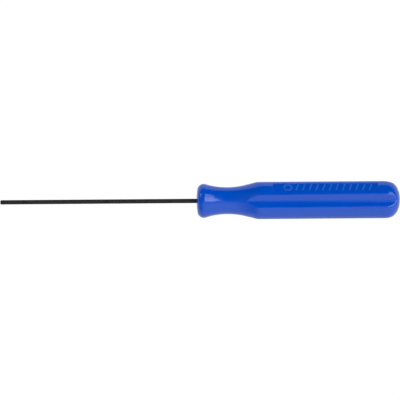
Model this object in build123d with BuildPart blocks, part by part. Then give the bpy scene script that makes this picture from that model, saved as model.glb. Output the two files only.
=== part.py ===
"""A 1/16 inch hexagon-key driver: a straight hexagonal blade fixed in a fluted, one-piece plastic handle.

It lies on its side along X, the blade's tip towards -X and the handle's domed end towards +X. The origin is
under the middle of its length, on the surface that it rests on. Sizes are in millimetres.
"""

from build123d import *
from math import cos, radians, sin, sqrt
import os

os.makedirs("parts", exist_ok=True)

# Overall lengths
overall_length = 165.0
handle_length = 84.0
tip_x = -overall_length / 2
handle_front_x = overall_length / 2 - handle_length

# Blade: a length of 1/16 inch hexagon bar
hex_across_flats = 1.5875
tip_chamfer = 0.15
tang_depth = 38.0
wing_length = 6.0
wing_span = 4.2
wing_thickness = 0.8
wing_end_gap = 3.0
wing_corner = 0.9

# Handle outline, measured from the middle of its front face
collar_corner_radius = 7.91
collar_fillet = 2.65
neck_radius = 30.4
neck_waist_radius = 5.58
neck_waist_x = 12.8
land_radius = 8.08
shoulder_fillet = 6.25
dome_crown_radius = 11.8
dome_fillet = 5.8

# Flutes: straight round-bottomed grooves that run out where the neck and the domed end fall below them
flute_count = 4
flute_radius = 2.8
flute_bottom_radius = 6.6
flute_edge_round = 1.0

# Size panel: a flat on one land, with a row of raised marks
panel_angle = 45.0
panel_start_x = 31.3
panel_end_x = 74.3
panel_chord = 4.9
panel_width = 5.4
panel_end_round = 1.4
mark_start_x = 37.4
mark_pitch = 2.72
first_bar_offset = 3.8
mark_count = 12
mark_height = 3.6
mark_stroke = 0.7
mark_lean = 20.0
mark_raise = 0.15
mark_root = 0.3
panel_cut_overrun = 1.0

# The handle rests on the two rounded land edges beside its lowest flute
flute_axis_radius = flute_bottom_radius + flute_radius
edge_centre_radius = land_radius - flute_edge_round
edge_reach = flute_radius + flute_edge_round
edge_cosine = (edge_centre_radius**2 + flute_axis_radius**2 - edge_reach**2) / (
    2 * edge_centre_radius * flute_axis_radius
)
axis_height = edge_centre_radius * edge_cosine + flute_edge_round

handle_axis = Axis((0, 0, axis_height), (1, 0, 0))
handle_plane = Plane(origin=(handle_front_x, 0, axis_height), x_dir=(1, 0, 0), z_dir=(0, -1, 0))
front_plane = Plane(origin=(handle_front_x, 0, axis_height), x_dir=(0, 1, 0), z_dir=(1, 0, 0))
blade_plane = Plane(origin=(tip_x, 0, axis_height), x_dir=(0, 1, 0), z_dir=(1, 0, 0))


def neck_half_span(radius):
    """How far from the waist, along the axis, the neck's arc reaches the given radius."""
    return sqrt(neck_radius**2 - (neck_radius + neck_waist_radius - radius) ** 2)


# Blade, with its embedded tang and the two coined wings that stop it turning in the plastic
blade_length = overall_length - handle_length + tang_depth
wing_x = tip_x + blade_length - wing_end_gap - wing_length / 2

with BuildPart() as hex_blade:
    with BuildSketch(blade_plane):
        RegularPolygon(hex_across_flats / 2, 6, major_radius=False)
    extrude(amount=blade_length)
    tip_edges = hex_blade.faces().sort_by(Axis.X)[0].edges()
    chamfer(tip_edges, tip_chamfer)
    with BuildSketch(Plane.XY.offset(axis_height - wing_thickness / 2)):
        with Locations((wing_x, 0)):
            RectangleRounded(wing_length, wing_span, wing_corner)
    extrude(amount=wing_thickness)
hex_blade.part.label = "hex_blade"

# Grip envelope: plain round as far as the waist, then four lands with rounded edges between the flutes
with BuildPart() as grip:
    with BuildSketch(front_plane):
        Circle(land_radius)
    extrude(amount=neck_waist_x)
    with BuildSketch(front_plane.offset(neck_waist_x)) as section:
        Circle(land_radius)
        with PolarLocations(flute_axis_radius, flute_count):
            Circle(flute_radius, mode=Mode.SUBTRACT)
        fillet(section.vertices(), flute_edge_round)
    extrude(amount=handle_length - neck_waist_x)

# Handle, moulded around the tang as one piece
collar_corner_x = neck_waist_x - neck_half_span(collar_corner_radius)
shoulder_x = neck_waist_x + neck_half_span(land_radius)
dome_corner_x = handle_length - dome_crown_radius + sqrt(dome_crown_radius**2 - land_radius**2)

panel_middle_x = handle_front_x + (panel_start_x + panel_end_x) / 2
panel_distance = sqrt(land_radius**2 - (panel_chord / 2) ** 2)
panel_normal = Vector(0, sin(radians(panel_angle)), cos(radians(panel_angle)))
panel_plane = Plane(
    origin=Vector(panel_middle_x, 0, axis_height) + panel_normal * panel_distance,
    x_dir=(1, 0, 0),
    z_dir=panel_normal,
)

with BuildPart() as handle:
    with BuildSketch(handle_plane) as outline:
        with BuildLine():
            TangentArc((0, 0), (collar_corner_x, collar_corner_radius), tangent=(0, 1))
            RadiusArc((collar_corner_x, collar_corner_radius), (shoulder_x, land_radius), -neck_radius)
            Line((shoulder_x, land_radius), (dome_corner_x, land_radius))
            RadiusArc((dome_corner_x, land_radius), (handle_length, 0), dome_crown_radius)
            Line((handle_length, 0), (0, 0))
        make_face()
        fillet(outline.vertices().sort_by(Axis.X)[-2], dome_fillet)
        fillet(outline.vertices().sort_by(Axis.X)[2], shoulder_fillet)
        fillet(outline.vertices().sort_by(Axis.X)[1], collar_fillet)
    revolve(axis=handle_axis)

    add(grip.part, mode=Mode.INTERSECT)

    with BuildSketch(panel_plane):
        RectangleRounded(panel_end_x - panel_start_x, panel_width, panel_end_round)
    extrude(amount=land_radius - panel_distance + panel_cut_overrun, mode=Mode.SUBTRACT)

    # A hexagon ring, for the kind of key, and a row of leaning bars
    first_mark_x = mark_start_x - (panel_start_x + panel_end_x) / 2
    with BuildSketch(panel_plane.offset(-mark_root)):
        with Locations((first_mark_x, 0)):
            RegularPolygon(mark_height / 2, 6, major_radius=False)
            RegularPolygon(mark_height / 2 - mark_stroke, 6, major_radius=False, mode=Mode.SUBTRACT)
        for mark in range(mark_count):
            with Locations((first_mark_x + first_bar_offset + mark * mark_pitch, 0)):
                Rectangle(mark_stroke, mark_height, rotation=-mark_lean)
    extrude(amount=mark_root + mark_raise)

    add(hex_blade.part, mode=Mode.SUBTRACT)
handle.part.label = "handle"

for piece in (hex_blade, handle):
    export_step(piece.part, f"parts/{piece.part.label}.step")
    box = piece.part.bounding_box()
    print(piece.part.label, len(piece.part.solids()), "solid", box.min, box.max)
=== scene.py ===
"""The looks of a 1/16 inch hexagon-key driver with a glossy blue fluted handle and a black oxide blade.

The driver lies along X with its tip towards -X and one flute facing up. Angles about its axis are measured
from +Z towards +Y. Its lengths are in millimetres until a mesh is made, which turns them into metres. The
floor, the lamps and the camera are in metres.
"""

from math import atan2, ceil, cos, hypot, pi, radians, sin, sqrt, tan

import bmesh
import bpy
import numpy as np
from mathutils import Matrix, Vector


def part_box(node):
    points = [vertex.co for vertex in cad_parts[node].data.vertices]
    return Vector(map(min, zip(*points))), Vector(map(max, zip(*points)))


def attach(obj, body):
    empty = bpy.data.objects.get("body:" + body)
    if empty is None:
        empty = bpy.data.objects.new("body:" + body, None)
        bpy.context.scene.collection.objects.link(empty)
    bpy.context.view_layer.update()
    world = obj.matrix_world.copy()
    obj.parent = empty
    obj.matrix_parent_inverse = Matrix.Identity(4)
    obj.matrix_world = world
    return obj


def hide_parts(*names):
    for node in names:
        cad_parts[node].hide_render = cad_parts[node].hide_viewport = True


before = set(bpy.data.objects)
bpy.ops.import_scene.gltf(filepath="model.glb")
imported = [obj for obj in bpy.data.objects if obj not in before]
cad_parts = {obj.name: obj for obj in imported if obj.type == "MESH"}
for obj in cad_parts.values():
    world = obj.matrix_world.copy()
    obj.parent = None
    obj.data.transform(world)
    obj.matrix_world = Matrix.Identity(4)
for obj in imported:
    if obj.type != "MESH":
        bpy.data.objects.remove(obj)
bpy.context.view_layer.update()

MM = 0.001

# ---------------------------------------------------------------- places, from the frame
handle_low, handle_high = (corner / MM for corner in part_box("handle"))
blade_low, blade_high = (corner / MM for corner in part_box("hex_blade"))
handle_end_x = handle_high.x
tip_x = blade_low.x
tang_end_x = blade_high.x
axis_z = (handle_low.z + handle_high.z) / 2

# ---------------------------------------------------------------- handle sizes, each x from its front end
handle_length = 84.0
handle_front_x = handle_end_x - handle_length

collar_corner_radius = 7.91
collar_fillet = 2.65
neck_radius = 30.4
neck_waist_radius = 5.58
neck_waist_x = 12.8
land_radius = 8.08
shoulder_fillet = 6.25
dome_crown_radius = 11.8
dome_fillet = 5.8

flute_count = 4
flute_spacing = radians(360 / flute_count)
flute_radius = 2.8
flute_bottom_radius = 6.6
flute_edge_round = 1.0

panel_angle = radians(45)
panel_start_x = 31.3
panel_end_x = 74.3
panel_chord = 4.9
panel_width = 5.4
panel_end_round = 1.4
panel_edge_round = 0.12
panel_middle_x = (panel_start_x + panel_end_x) / 2
panel_distance = sqrt(land_radius**2 - (panel_chord / 2) ** 2)

mark_start_x = 37.4
mark_pitch = 2.72
first_bar_offset = 3.8
mark_count = 12
mark_height = 3.6
mark_stroke = 0.7
mark_lean = radians(20)
mark_raise = 0.15
mark_root = 0.3
mark_edge_round = 0.08

socket_radius = 0.95
socket_depth = 1.2
socket_lip = 0.15

# ---------------------------------------------------------------- blade sizes
hex_across_flats = 1.5875
blade_edge_round = 0.06
tip_chamfer = 0.15

# ---------------------------------------------------------------- hexagons, of the blade and of one mark
hexagon_sides = 6
hexagon_turn = radians(360 / hexagon_sides)
flat_to_corner = hexagon_turn / 2

# ---------------------------------------------------------------- fineness of the handle's mesh
spokes = 312
lip_step = 0.03
front_step = 0.3
collar_step = 0.12
neck_step = 0.35
shoulder_step = 0.2
straight_step = 1.2
panel_end_step = 0.06
dome_fillet_step = 0.18
dome_crown_step = 0.2

# ---------------------------------------------------------------- mesh helpers


def make_object(name, mesh):
    """A new object in the scene, with the given mesh."""
    piece = bpy.data.objects.new(name, mesh)
    bpy.context.scene.collection.objects.link(piece)
    return piece


def grid_mesh(name, rings, first_tip, last_tip):
    """A closed smooth mesh from rings of points, all with the same count, capped by a fan at each end."""
    ring_count, around, _ = rings.shape
    points = np.concatenate([[first_tip], rings.reshape(-1, 3), [last_tip]])
    last = len(points) - 1
    faces = []
    for ring in range(ring_count - 1):
        start = 1 + ring * around
        for spoke in range(around):
            after = (spoke + 1) % around
            faces.append((start + spoke, start + around + spoke, start + around + after, start + after))
    last_start = last - around
    for spoke in range(around):
        after = (spoke + 1) % around
        faces.append((0, 1 + spoke, 1 + after))
        faces.append((last, last_start + after, last_start + spoke))
    mesh = bpy.data.meshes.new(name)
    mesh.from_pydata((points * MM).tolist(), [], faces)
    mesh.shade_smooth()
    mesh.validate()
    return mesh


def closed_pairs(items):
    """Each item with the one after it, and the last with the first."""
    return zip(items, items[1:] + items[:1])


def add_wall(shape, first, second):
    """Joins two loops of vertices, corner to corner, by a ring of faces."""
    for (a, b), (next_a, next_b) in closed_pairs(list(zip(first, second))):
        shape.faces.new((a, next_a, next_b, b))


def bevel_round(shape, edges, size, segments):
    """Bevels the given edges to a round profile."""
    half_round = 0.5
    bmesh.ops.bevel(
        shape, geom=edges, offset=size * MM, segments=segments, profile=half_round, affect="EDGES"
    )


def finished_mesh(name, shape):
    """Turns a bmesh into a mesh and frees it."""
    mesh = bpy.data.meshes.new(name)
    shape.to_mesh(mesh)
    shape.free()
    return mesh


# ---------------------------------------------------------------- handle outline


def circle_crossing(centre_a, radius_a, centre_b, radius_b):
    """The point at the given distances from two centres, to the left of the way from a to b."""
    ax, ay = centre_a
    bx, by = centre_b
    apart = hypot(bx - ax, by - ay)
    along = (radius_a**2 - radius_b**2 + apart**2) / (2 * apart)
    aside = sqrt(radius_a**2 - along**2)
    ux, uy = (bx - ax) / apart, (by - ay) / apart
    return ax + along * ux - aside * uy, ay + along * uy + aside * ux


def direction(start, end):
    """The angle of the way from one point to another."""
    return atan2(end[1] - start[1], end[0] - start[0])


def arc_stations(centre, radius, start, end, step, outward=1):
    """(x, radius, normal x, normal radius) along an arc, from the angle start up to but not at end.

    The plastic is on the arc's inner side where outward is 1, and on its outer side where outward is -1.
    """
    fewest = 2
    count = max(fewest, ceil(abs(end - start) * radius / step))
    stations = []
    for k in range(count):
        angle = start + (end - start) * k / count
        x = centre[0] + radius * cos(angle)
        height = centre[1] + radius * sin(angle)
        stations.append((x, height, outward * cos(angle), outward * sin(angle)))
    return stations


def land_positions(start, end):
    """Where the straight stretch has its rings: evenly, and closer together round the panel's ends."""
    steps_outside_panel = 8
    reach_inside_panel = 1.8
    fine = [
        panel_end + inward * k * panel_end_step
        for panel_end, inward in ((panel_start_x, 1), (panel_end_x, -1))
        for k in range(-steps_outside_panel, int(reach_inside_panel / panel_end_step))
    ]
    even = np.arange(start, end, straight_step)
    even = [x for x in even if min(abs(x - f) for f in fine) > panel_end_step]
    return sorted(fine + even)


def outline_stations():
    """The handle's outline from the blade's socket to the top of the dome, without its flutes and panel."""
    neck = (neck_waist_x, neck_waist_radius + neck_radius)
    corner_x = neck_waist_x - sqrt(neck_radius**2 - (neck[1] - collar_corner_radius) ** 2)
    face_crown_radius = (corner_x**2 + collar_corner_radius**2) / (2 * corner_x)
    crown_front = (face_crown_radius, 0)
    collar = circle_crossing(
        crown_front, face_crown_radius - collar_fillet, neck, neck_radius + collar_fillet
    )
    shoulder_height = land_radius - shoulder_fillet
    shoulder_run = sqrt((neck_radius + shoulder_fillet) ** 2 - (neck[1] - shoulder_height) ** 2)
    shoulder = (neck_waist_x + shoulder_run, shoulder_height)
    crown_rear = (handle_length - dome_crown_radius, 0)
    dome_height = land_radius - dome_fillet
    dome_run = sqrt((dome_crown_radius - dome_fillet) ** 2 - dome_height**2)
    dome = (crown_rear[0] + dome_run, dome_height)

    lip_height = socket_radius + socket_lip
    lip_x = face_crown_radius - sqrt(face_crown_radius**2 - lip_height**2)
    lip = (lip_x + socket_lip, lip_height)
    lip_face_angle = direction(crown_front, (lip_x, lip_height))
    front_end_angle = direction(crown_front, collar)
    neck_start_angle = direction(neck, collar) + 2 * pi
    neck_end_angle = direction(neck, shoulder) + 2 * pi
    dome_end_angle = direction(crown_rear, dome)

    # From half way out on the socket's bottom, over its lip, and along the outside
    stations = [(socket_depth, socket_radius / 2, -1, 0), (socket_depth, socket_radius, 0, -1)]
    stations += arc_stations(lip, socket_lip, radians(270), radians(180), lip_step)
    stations += arc_stations(crown_front, face_crown_radius, lip_face_angle, front_end_angle, front_step)
    stations += arc_stations(collar, collar_fillet, front_end_angle, direction(collar, neck), collar_step)
    stations += arc_stations(neck, neck_radius, neck_start_angle, neck_end_angle, neck_step, outward=-1)
    stations += arc_stations(
        shoulder, shoulder_fillet, direction(shoulder, neck), radians(90), shoulder_step
    )
    stations += [(x, land_radius, 0, 1) for x in land_positions(shoulder[0], dome[0])]
    stations += arc_stations(dome, dome_fillet, radians(90), dome_end_angle, dome_fillet_step)
    stations += arc_stations(crown_rear, dome_crown_radius, dome_end_angle, 0, dome_crown_step)
    return np.array(stations)


# ---------------------------------------------------------------- handle surface


def rounded_common(first, second, rounding):
    """Signed distance to what two solids share, with its edge rounded, from the distance to each of them."""
    sharp = np.minimum(-rounding, np.maximum(first, second))
    return sharp + np.hypot(np.maximum(rounding + first, 0), np.maximum(rounding + second, 0))


def flute_clearance(x, height, width):
    """How deep a point is inside the flute, and the direction across the handle to the flute's centre."""
    to_height = flute_bottom_radius + flute_radius - height
    distance = np.hypot(to_height, width)
    depth = np.minimum(flute_radius - distance, x - neck_waist_x)
    return depth, to_height / distance, -width / distance


def panel_clearance(x, angle, radius):
    """How deep a point is inside the panel's recess, which is a rounded rectangle in plan."""
    above = radius * np.cos(angle - panel_angle) - panel_distance
    across = radius * np.sin(angle - panel_angle)
    half_length = (panel_end_x - panel_start_x) / 2 - panel_end_round
    half_width = panel_width / 2 - panel_end_round
    past_length = np.abs(x - panel_middle_x) - half_length
    past_width = np.abs(across) - half_width
    past_corner = np.hypot(np.maximum(past_length, 0), np.maximum(past_width, 0))
    outside = past_corner + np.minimum(np.maximum(past_length, past_width), 0)
    return np.minimum(above, panel_end_round - outside)


def sunk(station, depth):
    """The x and radius of the points at the given depths straight under the outline."""
    x, radius, normal_x, normal_radius = station
    return x - depth * normal_x, radius - depth * normal_radius


def surface_value(station, depth, angle):
    """Negative inside the plastic, for points at the given depths under the outline."""
    x, radius = sunk(station, depth)
    turned = (angle + flute_spacing / 2) % flute_spacing - flute_spacing / 2
    height = radius * np.cos(turned)
    width = radius * np.sin(turned)
    flute, to_height, to_width = flute_clearance(x, height, width)

    # The edge is rounded less where flute and outline meet at a low angle, and not at all where they merge
    normal_radius = station[-1]
    alignment = normal_radius * (np.cos(turned) * to_height + np.sin(turned) * to_width)
    rounding = flute_edge_round * np.clip(1 - alignment, 0, 1)
    grip = rounded_common(-depth, flute, rounding)
    return rounded_common(grip, panel_clearance(x, angle, radius), panel_edge_round)


def surface_depth(station, angle):
    """How far under the outline the plastic begins, found by halving the stretch that it must lie in."""
    deepest = 2.5
    halvings = 40
    tolerance = 1e-9
    shallow = np.zeros(angle.shape)
    deep = np.full(angle.shape, deepest)
    on_outline = surface_value(station, shallow, angle) < tolerance
    for _ in range(halvings):
        middle = (shallow + deep) / 2
        outside = surface_value(station, middle, angle) > 0
        shallow = np.where(outside, middle, shallow)
        deep = np.where(outside, deep, middle)
    return np.where(on_outline, 0, deep)


def handle_mesh():
    """The handle's moulding: its outline, sunk where the flutes and the panel are."""
    stations = outline_stations()
    angle = np.broadcast_to(np.arange(spokes) * 2 * pi / spokes, (len(stations), spokes))
    station = [np.broadcast_to(column[:, None], angle.shape) for column in stations.T]
    x, radius = sunk(station, surface_depth(station, angle))
    rings = np.stack(
        [handle_front_x + x, radius * np.sin(angle), axis_z + radius * np.cos(angle)], axis=-1
    )
    socket_end = (handle_front_x + socket_depth, 0, axis_z)
    dome_top = (handle_end_x, 0, axis_z)
    return grid_mesh("handle_moulding", rings, socket_end, dome_top)


# ---------------------------------------------------------------- marks on the panel


def hexagon_outline(middle_x, flat_radius):
    """A hexagon in the panel's plan, with two corners on the row's line."""
    corner_radius = flat_radius / cos(flat_to_corner)
    corners = [corner * hexagon_turn for corner in range(hexagon_sides)]
    return [(middle_x + corner_radius * cos(a), corner_radius * sin(a)) for a in corners]


def bar_outline(middle_x):
    """A leaning bar in the panel's plan."""
    half_stroke, half_height = mark_stroke / 2, mark_height / 2
    upright = [
        (-half_stroke, -half_height),
        (half_stroke, -half_height),
        (half_stroke, half_height),
        (-half_stroke, half_height),
    ]
    return [
        (
            middle_x + along * cos(mark_lean) + aside * sin(mark_lean),
            aside * cos(mark_lean) - along * sin(mark_lean),
        )
        for along, aside in upright
    ]


def mark_outlines():
    """Each mark's loops of points in plan: a hexagon ring's two, then one for each bar."""
    ring_outside = hexagon_outline(mark_start_x, mark_height / 2)
    ring_inside = hexagon_outline(mark_start_x, mark_height / 2 - mark_stroke)
    bar_places = [mark_start_x + first_bar_offset + mark * mark_pitch for mark in range(mark_count)]
    return [[ring_outside, ring_inside]] + [[bar_outline(place)] for place in bar_places]


def marks_mesh():
    """The raised marks, each rooted in the panel, with its upper edges rounded."""
    across = Vector((0, cos(panel_angle), -sin(panel_angle)))
    up = Vector((0, sin(panel_angle), cos(panel_angle)))
    origin = Vector((handle_front_x, 0, axis_z))

    def place(plan_point, level):
        x, aside = plan_point
        return (origin + Vector((x, 0, 0)) + across * aside + up * (panel_distance + level)) * MM

    shape = bmesh.new()
    top_edges = []
    for loops in mark_outlines():
        lower = [[shape.verts.new(place(p, -mark_root)) for p in loop] for loop in loops]
        upper = [[shape.verts.new(place(p, mark_raise)) for p in loop] for loop in loops]
        for low, high in zip(lower, upper):
            add_wall(shape, low, high)
            top_edges += [shape.edges.get(ends) for ends in closed_pairs(high)]
        for level in (lower, upper):
            if len(level) == 1:
                shape.faces.new(level[0])
            else:
                add_wall(shape, *level)
    bmesh.ops.recalc_face_normals(shape, faces=shape.faces)
    bevel_round(shape, top_edges, mark_edge_round, segments=2)
    return finished_mesh("handle_size_marks", shape)


# ---------------------------------------------------------------- blade


def blade_mesh():
    """A hexagon bar with two flats level, soft edges along its length and a chamfered tip."""
    same_place = 1e-7
    corner_radius = hex_across_flats / 2 / cos(flat_to_corner)
    angles = [flat_to_corner + corner * hexagon_turn for corner in range(hexagon_sides)]
    section = [(-corner_radius * sin(a), axis_z + corner_radius * cos(a)) for a in angles]
    shape = bmesh.new()
    tip = [shape.verts.new(Vector((tip_x, y, z)) * MM) for y, z in section]
    tang = [shape.verts.new(Vector((tang_end_x, y, z)) * MM) for y, z in section]
    shape.faces.new(tip)
    shape.faces.new(tang)
    add_wall(shape, tip, tang)
    long_edges = [shape.edges.get(ends) for ends in zip(tip, tang)]
    bmesh.ops.recalc_face_normals(shape, faces=shape.faces)
    bevel_round(shape, long_edges, blade_edge_round, segments=4)
    tip_edges = [e for e in shape.edges if all(abs(v.co.x - tip_x * MM) < same_place for v in e.verts)]
    bevel_round(shape, tip_edges, tip_chamfer, segments=2)
    return finished_mesh("blade_bar", shape)


# ---------------------------------------------------------------- shader helpers


def fill_inputs(tree, node, inputs):
    """Gives each input of a node its value, or a link to it where the value is another node's output."""
    for name, value in inputs.items():
        if isinstance(value, bpy.types.NodeSocket):
            tree.links.new(value, node.inputs[name])
        else:
            node.inputs[name].default_value = value


def add_node(tree, kind, inputs=None, **settings):
    """A new shader node of the given kind."""
    node = tree.nodes.new("ShaderNode" + kind)
    for name, value in settings.items():
        setattr(node, name, value)
    fill_inputs(tree, node, inputs or {})
    return node


def object_place(tree):
    """The place on the object, in metres."""
    return add_node(tree, "TexCoord").outputs["Object"]


def stretched(tree, place, along):
    """The place with its x scaled, which draws a texture out along the driver."""
    return add_node(tree, "Mapping", {"Vector": place, "Scale": (along, 1, 1)}).outputs["Vector"]


def noise(tree, place, scale, detail, roughness):
    """Noise from 0 to 1. The scale is about how many waves there are to a metre."""
    inputs = {"Vector": place, "Scale": scale, "Detail": detail, "Roughness": roughness}
    return add_node(tree, "TexNoise", inputs).outputs["Fac"]


def bump(tree, height, strength, distance, below=None):
    """The normal that a height gives, on top of the normal below where there is one."""
    inputs = {"Height": height, "Strength": strength, "Distance": distance}
    if below is not None:
        inputs["Normal"] = below
    return add_node(tree, "Bump", inputs).outputs["Normal"]


def colour_blend(tree, value, low, low_colour, high, high_colour):
    """One colour up to the value low and another from the value high, blended between."""
    ramp = add_node(tree, "ValToRGB", {"Fac": value})
    for stop, position, colour in zip(ramp.color_ramp.elements, (low, high), (low_colour, high_colour)):
        stop.position = position
        stop.color = (*colour, 1)
    return ramp.outputs["Color"]


def map_range(tree, value, from_min, from_max, to_min, to_max, interpolation="LINEAR"):
    """The value taken from one range to another, and held within it."""
    inputs = {
        "Value": value,
        "From Min": from_min,
        "From Max": from_max,
        "To Min": to_min,
        "To Max": to_max,
    }
    return add_node(tree, "MapRange", inputs, interpolation_type=interpolation).outputs["Result"]


def shade(material, inputs):
    """Gives the material's shader the given inputs."""
    tree = material.node_tree
    fill_inputs(tree, tree.nodes["Principled BSDF"], inputs)


def new_material(name, inputs):
    """A node material whose shader has the given inputs."""
    material = bpy.data.materials.new(name)
    material.use_nodes = True
    shade(material, inputs)
    return material


# ---------------------------------------------------------------- materials


def blue_plastic(name, darker, lighter, smoothest, roughest, specular):
    """Moulded plastic: deep even blue, with a faint flow pattern, soft ripple and fine scratches."""
    plain = {
        "IOR": 1.52,
        "Specular IOR Level": specular,
        "Subsurface Weight": 0.15,
        "Subsurface Radius": (0.2, 0.6, 1.0),
        "Subsurface Scale": 0.0015,
    }
    material = new_material(name, plain)
    tree = material.node_tree
    place = object_place(tree)
    flow = noise(tree, place, scale=60.0, detail=3.0, roughness=0.5)
    colour = colour_blend(tree, flow, low=0.35, low_colour=darker, high=0.65, high_colour=lighter)
    lengthwise = stretched(tree, place, along=0.15)
    scratches = noise(tree, lengthwise, scale=5200.0, detail=2.0, roughness=0.6)
    gloss = map_range(tree, scratches, from_min=0.3, from_max=0.75, to_min=smoothest, to_max=roughest)
    ripple = noise(tree, place, scale=420.0, detail=2.0, roughness=0.4)
    soft = bump(tree, ripple, strength=0.06, distance=0.0004)
    fine = bump(tree, scratches, strength=0.02, distance=0.0001, below=soft)
    shade(material, {"Base Color": colour, "Roughness": gloss, "Normal": fine})
    return material


def black_oxide(name, darker, lighter):
    """Black oxide on drawn steel: near black, with lengthwise drawing lines and a mottled oil film."""
    plain = {
        "Metallic": 0.7,
        "IOR": 1.5,
        "Specular IOR Level": 0.12,
        "Specular Tint": (0.02, 0.02, 0.02, 1),
    }
    material = new_material(name, plain)
    tree = material.node_tree
    place = object_place(tree)
    lengthwise = stretched(tree, place, along=0.02)
    drawn = noise(tree, lengthwise, scale=9000.0, detail=3.0, roughness=0.6)
    film = noise(tree, place, scale=350.0, detail=4.0, roughness=0.6)
    mixed = add_node(tree, "Math", {0: drawn, 1: film}, operation="ADD").outputs["Value"]
    colour = colour_blend(tree, mixed, low=0.75, low_colour=darker, high=1.0, high_colour=lighter)
    gloss = map_range(tree, mixed, from_min=0.6, from_max=1.4, to_min=0.45, to_max=0.6)
    lines = bump(tree, drawn, strength=0.10, distance=0.0001)
    shade(material, {"Base Color": colour, "Roughness": gloss, "Normal": lines})
    return material


# ---------------------------------------------------------------- the pieces
handle = make_object("handle_moulding", handle_mesh())
marks = make_object("handle_size_marks", marks_mesh())
blade = make_object("blade_bar", blade_mesh())

deep_blue = (0.0001, 0.081, 0.58), (0.0002, 0.087, 0.62)
scuffed_blue = (0.006, 0.105, 0.60), (0.010, 0.120, 0.64)
near_black = (0.024, 0.024, 0.025), (0.042, 0.042, 0.044)
plastic = blue_plastic("blue_polished_plastic", *deep_blue, smoothest=0.09, roughest=0.14, specular=0.5)
matt_plastic = blue_plastic("blue_matt_plastic", *scuffed_blue, smoothest=0.5, roughest=0.65, specular=0.3)
steel = black_oxide("black_oxide_steel", *near_black)
handle.data.materials.append(plastic)
marks.data.materials.append(matt_plastic)
blade.data.materials.append(steel)

# The hidden CAD nodes have the same finishes
for node, material in (("handle", plastic), ("hex_blade", steel)):
    node_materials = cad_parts[node].data.materials
    node_materials.clear()
    node_materials.append(material)

for piece in (handle, marks):
    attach(piece, "root")
    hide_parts("handle")
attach(blade, "root")
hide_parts("hex_blade")

# ---------------------------------------------------------------- floor


def pale_floor():
    """A table that glows, so that the camera sees it plain white. It is a little dimmer in reflections."""
    half_length = 0.25
    near_y = -0.25
    far_y = 0.12
    glow_in_reflections = 0.76
    glow_to_camera = 0.975
    plain = {
        "Base Color": (0.05, 0.05, 0.05, 1),
        "Roughness": 0.9,
        "Specular IOR Level": 0.0,
        "Emission Color": (1, 1, 1, 1),
    }
    mesh = bpy.data.meshes.new("floor")
    corners = [
        (-half_length, near_y, 0),
        (half_length, near_y, 0),
        (half_length, far_y, 0),
        (-half_length, far_y, 0),
    ]
    mesh.from_pydata(corners, [], [(0, 1, 2, 3)])
    floor = make_object("floor", mesh)
    material = new_material("pale_floor", plain)
    tree = material.node_tree
    seen = add_node(tree, "LightPath").outputs["Is Camera Ray"]
    glow = map_range(tree, seen, 0.0, 1.0, glow_in_reflections, glow_to_camera)
    shade(material, {"Emission Strength": glow})
    mesh.materials.append(material)


# ---------------------------------------------------------------- light


def studio_surround():
    """A soft white surround on the -Y side and a dark one on the +Y side. The camera itself sees white.

    The white dims towards the blade's tip. The places where it changes are in the Y and X of a direction.
    """
    brightness = 1.2
    boundary = -0.13
    softness = 0.39
    dim_from = 0.0
    dim_to = -0.65
    dimmest = 0.28
    world = bpy.data.worlds.new("studio")
    bpy.context.scene.world = world
    world.use_nodes = True
    tree = world.node_tree
    tree.nodes.clear()
    toward = add_node(tree, "TexCoord").outputs["Generated"]
    parts = add_node(tree, "SeparateXYZ", {"Vector": toward}).outputs
    side = map_range(
        tree, parts["Y"], boundary + softness, boundary - softness, 0.0, brightness, "SMOOTHSTEP"
    )
    dimming = map_range(tree, parts["X"], dim_from, dim_to, 1.0, dimmest, "SMOOTHSTEP")
    strength = add_node(tree, "Math", {0: side, 1: dimming}, operation="MULTIPLY").outputs["Value"]
    surround = add_node(tree, "Background", {"Strength": strength}).outputs["Background"]
    backdrop = add_node(tree, "Background", {"Color": (1, 1, 1, 1)}).outputs["Background"]
    seen = add_node(tree, "LightPath").outputs["Is Camera Ray"]
    mix = add_node(tree, "MixShader", {"Fac": seen, 1: surround, 2: backdrop})
    add_node(tree, "OutputWorld", {"Surface": mix.outputs["Shader"]})


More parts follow.
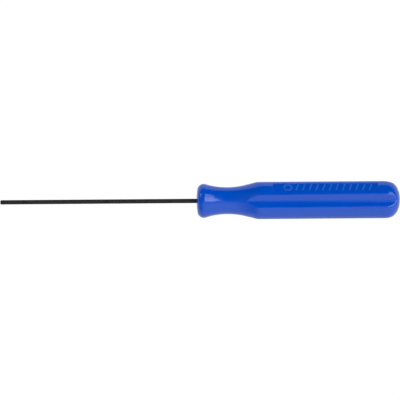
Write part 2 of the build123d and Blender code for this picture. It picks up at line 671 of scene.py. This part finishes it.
def lamp(name, lean, twist, distance, size, radiance):
    """A rectangular lamp that shines at the driver, leaning from overhead by angles towards +X and +Y.

    Its width runs along X and its height along Y before it is twisted about its own aim. All the angles are
    in degrees.
    """
    lean_x, lean_y = (radians(angle) for angle in lean)
    width, height = size
    light = bpy.data.lights.new(name, "AREA")
    light.shape = "RECTANGLE"
    light.size = width
    light.size_y = height
    light.energy = radiance * pi * width * height
    holder = bpy.data.objects.new(name, light)
    aim = Vector((tan(lean_x), tan(lean_y), 1)).normalized()
    width_axis = Vector((0, 1, 0)).cross(aim).normalized()
    height_axis = aim.cross(width_axis)
    turn = Matrix((width_axis, height_axis, aim)).transposed().to_4x4()
    centre = Vector((0, 0, axis_z * MM))
    place = Matrix.Translation(centre + aim * distance)
    holder.matrix_world = place @ turn @ Matrix.Rotation(radians(twist), 4, "Z")
    bpy.context.scene.collection.objects.link(holder)
    return holder


def studio_lamps():
    """A window with a brighter middle, a thin strip, a far window, and a near fill with no reflection."""
    lamp("window", lean=(45, 23), twist=-32, distance=3.0, size=(2.6, 2.7), radiance=2.1)
    lamp("window_middle", lean=(27, 12), twist=-32, distance=3.0, size=(0.9, 1.6), radiance=1.5)
    lamp("strip", lean=(12, 12), twist=-10, distance=3.0, size=(0.36, 1.7), radiance=0.38)
    lamp("far_window", lean=(-68, 60), twist=0, distance=3.0, size=(1.0, 1.0), radiance=2.2)
    fill = lamp("fill", lean=(-32, 28), twist=0, distance=0.7, size=(0.6, 0.6), radiance=2.0)
    fill.visible_glossy = False


# ---------------------------------------------------------------- camera


def overhead_camera():
    """Looks straight down, leaning a little to the driver's +Y side, with the handle rising to the right."""
    distance = 0.45
    lean = radians(3.0)
    roll = radians(0.43)
    view_width = 165.4 * MM
    axis_below_middle = 0.36 * MM
    back = Vector((0, sin(lean), cos(lean)))
    level_up = Vector((0, cos(lean), -sin(lean)))
    level_right = Vector((1, 0, 0))
    up = level_up * cos(roll) + level_right * sin(roll)
    right = level_right * cos(roll) - level_up * sin(roll)
    target = Vector((0, axis_below_middle, axis_z * MM))
    camera = bpy.data.cameras.new("camera")
    camera.sensor_width = 36.0
    camera.lens = camera.sensor_width * distance / view_width
    holder = bpy.data.objects.new("camera", camera)
    turn = Matrix((right, up, back)).transposed().to_4x4()
    holder.matrix_world = Matrix.Translation(target + back * distance) @ turn
    bpy.context.scene.collection.objects.link(holder)
    bpy.context.scene.camera = holder


pale_floor()
studio_surround()
studio_lamps()
overhead_camera()
bpy.context.scene.view_settings.view_transform = "Standard"
